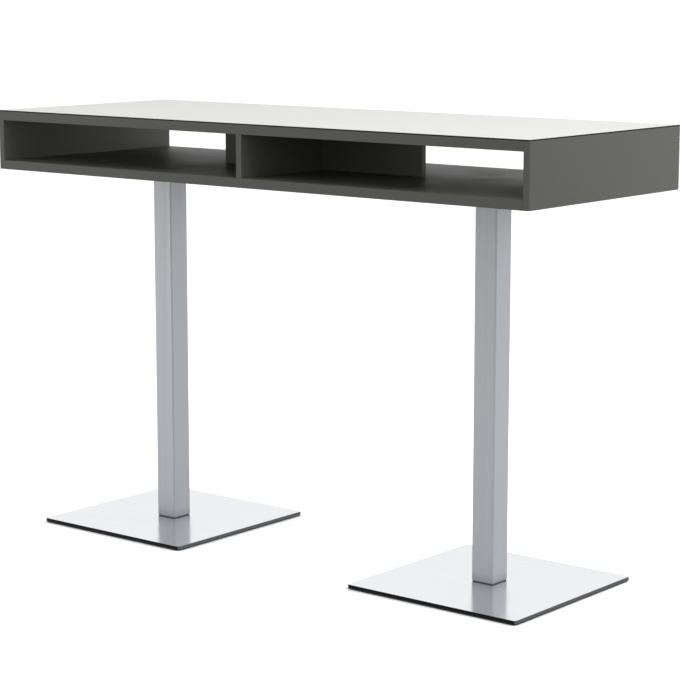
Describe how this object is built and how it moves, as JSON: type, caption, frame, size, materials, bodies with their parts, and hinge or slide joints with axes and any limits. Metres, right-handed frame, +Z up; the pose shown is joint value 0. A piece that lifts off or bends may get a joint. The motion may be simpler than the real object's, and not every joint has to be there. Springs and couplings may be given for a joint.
{
  "type": "standing meeting table",
  "caption": "Standing-height meeting table: a shallow open shelf box with a centre divider, carried by square steel columns on flat square base plates with levelling glides.",
  "frame": {"origin": "on the floor, under the middle of the table", "axes": "+X along the table's length, +Y from its front to its back, +Z up"},
  "size_m": [1.6, 0.6, 1.06],
  "materials": {
    "top_laminate": "satin pale compact laminate with a black core",
    "grey_lacquer": "satin warm grey lacquer on fibreboard",
    "beech": "plain beech",
    "silver_coat": "satin silver powder coat",
    "brushed_plate": "finely brushed, nearly polished stainless steel",
    "zinc_steel": "bright zinc plate",
    "brass": "turned brass",
    "seal_rubber": "matt black rubber",
    "nylon": "moulded black nylon"
  },
  "bodies": {
    "table": {"top_sheet": "top_laminate", "top_board": "grey_lacquer", "bottom_board": "grey_lacquer", "left_end_panel": "grey_lacquer", "right_end_panel": "grey_lacquer", "centre_divider": "grey_lacquer", "left_spine_panel": "grey_lacquer", "right_spine_panel": "grey_lacquer", "left_end_dowels": "beech", "right_end_dowels": "beech", "divider_dowels": "beech", "left_spine_dowels": "beech", "right_spine_dowels": "beech", "left_column": "silver_coat", "left_head_plate": "silver_coat", "left_head_screws": "zinc_steel", "left_base_screws": "zinc_steel", "left_foot_block": "zinc_steel", "left_inserts": "brass", "left_foot_seal": "seal_rubber", "left_base_plate": "brushed_plate", "right_column": "silver_coat", "right_head_plate": "silver_coat", "right_head_screws": "zinc_steel", "right_base_screws": "zinc_steel", "right_foot_block": "zinc_steel", "right_inserts": "brass", "right_foot_seal": "seal_rubber", "right_base_plate": "brushed_plate"},
    "left_front_outer_glide_pad": {"left_front_outer_glide_pad": "nylon"},
    "left_front_outer_glide_stud": {"left_front_outer_glide_stud": "zinc_steel"},
    "left_front_inner_glide_pad": {"left_front_inner_glide_pad": "nylon"},
    "left_front_inner_glide_stud": {"left_front_inner_glide_stud": "zinc_steel"},
    "left_rear_outer_glide_pad": {"left_rear_outer_glide_pad": "nylon"},
    "left_rear_outer_glide_stud": {"left_rear_outer_glide_stud": "zinc_steel"},
    "left_rear_inner_glide_pad": {"left_rear_inner_glide_pad": "nylon"},
    "left_rear_inner_glide_stud": {"left_rear_inner_glide_stud": "zinc_steel"},
    "right_front_outer_glide_pad": {"right_front_outer_glide_pad": "nylon"},
    "right_front_outer_glide_stud": {"right_front_outer_glide_stud": "zinc_steel"},
    "right_front_inner_glide_pad": {"right_front_inner_glide_pad": "nylon"},
    "right_front_inner_glide_stud": {"right_front_inner_glide_stud": "zinc_steel"},
    "right_rear_outer_glide_pad": {"right_rear_outer_glide_pad": "nylon"},
    "right_rear_outer_glide_stud": {"right_rear_outer_glide_stud": "zinc_steel"},
    "right_rear_inner_glide_pad": {"right_rear_inner_glide_pad": "nylon"},
    "right_rear_inner_glide_stud": {"right_rear_inner_glide_stud": "zinc_steel"}
  },
  "joints": [
    {"name": "left_front_outer_glide_height", "type": "slide", "parent": "table", "child": "left_front_outer_glide_pad", "axis": [0, 0, -1], "range_m": [0, 0.003]},
    {"name": "left_front_outer_glide_turn", "type": "hinge", "parent": "left_front_outer_glide_pad", "child": "left_front_outer_glide_stud", "pos_m": [-0.7, -0.2, 0.006], "axis": [0, 0, -1], "range_deg": [0, 864]},
    {"name": "left_front_inner_glide_height", "type": "slide", "parent": "table", "child": "left_front_inner_glide_pad", "axis": [0, 0, -1], "range_m": [0, 0.003]},
    {"name": "left_front_inner_glide_turn", "type": "hinge", "parent": "left_front_inner_glide_pad", "child": "left_front_inner_glide_stud", "pos_m": [-0.3, -0.2, 0.006], "axis": [0, 0, -1], "range_deg": [0, 864]},
    {"name": "left_rear_outer_glide_height", "type": "slide", "parent": "table", "child": "left_rear_outer_glide_pad", "axis": [0, 0, -1], "range_m": [0, 0.003]},
    {"name": "left_rear_outer_glide_turn", "type": "hinge", "parent": "left_rear_outer_glide_pad", "child": "left_rear_outer_glide_stud", "pos_m": [-0.7, 0.2, 0.006], "axis": [0, 0, -1], "range_deg": [0, 864]},
    {"name": "left_rear_inner_glide_height", "type": "slide", "parent": "table", "child": "left_rear_inner_glide_pad", "axis": [0, 0, -1], "range_m": [0, 0.003]},
    {"name": "left_rear_inner_glide_turn", "type": "hinge", "parent": "left_rear_inner_glide_pad", "child": "left_rear_inner_glide_stud", "pos_m": [-0.3, 0.2, 0.006], "axis": [0, 0, -1], "range_deg": [0, 864]},
    {"name": "right_front_outer_glide_height", "type": "slide", "parent": "table", "child": "right_front_outer_glide_pad", "axis": [0, 0, -1], "range_m": [0, 0.003]},
    {"name": "right_front_outer_glide_turn", "type": "hinge", "parent": "right_front_outer_glide_pad", "child": "right_front_outer_glide_stud", "pos_m": [0.7, -0.2, 0.006], "axis": [0, 0, -1], "range_deg": [0, 864]},
    {"name": "right_front_inner_glide_height", "type": "slide", "parent": "table", "child": "right_front_inner_glide_pad", "axis": [0, 0, -1], "range_m": [0, 0.003]},
    {"name": "right_front_inner_glide_turn", "type": "hinge", "parent": "right_front_inner_glide_pad", "child": "right_front_inner_glide_stud", "pos_m": [0.3, -0.2, 0.006], "axis": [0, 0, -1], "range_deg": [0, 864]},
    {"name": "right_rear_outer_glide_height", "type": "slide", "parent": "table", "child": "right_rear_outer_glide_pad", "axis": [0, 0, -1], "range_m": [0, 0.003]},
    {"name": "right_rear_outer_glide_turn", "type": "hinge", "parent": "right_rear_outer_glide_pad", "child": "right_rear_outer_glide_stud", "pos_m": [0.7, 0.2, 0.006], "axis": [0, 0, -1], "range_deg": [0, 864]},
    {"name": "right_rear_inner_glide_height", "type": "slide", "parent": "table", "child": "right_rear_inner_glide_pad", "axis": [0, 0, -1], "range_m": [0, 0.003]},
    {"name": "right_rear_inner_glide_turn", "type": "hinge", "parent": "right_rear_inner_glide_pad", "child": "right_rear_inner_glide_stud", "pos_m": [0.3, 0.2, 0.006], "axis": [0, 0, -1], "range_deg": [0, 864]}
  ],
  "couplings": [
    {"joint": "left_front_outer_glide_turn", "follows": "left_front_outer_glide_height", "rad_per_m": 5026.5},
    {"joint": "left_front_inner_glide_turn", "follows": "left_front_inner_glide_height", "rad_per_m": 5026.5},
    {"joint": "left_rear_outer_glide_turn", "follows": "left_rear_outer_glide_height", "rad_per_m": 5026.5},
    {"joint": "left_rear_inner_glide_turn", "follows": "left_rear_inner_glide_height", "rad_per_m": 5026.5},
    {"joint": "right_front_outer_glide_turn", "follows": "right_front_outer_glide_height", "rad_per_m": 5026.5},
    {"joint": "right_front_inner_glide_turn", "follows": "right_front_inner_glide_height", "rad_per_m": 5026.5},
    {"joint": "right_rear_outer_glide_turn", "follows": "right_rear_outer_glide_height", "rad_per_m": 5026.5},
    {"joint": "right_rear_inner_glide_turn", "follows": "right_rear_inner_glide_height", "rad_per_m": 5026.5}
  ]
}
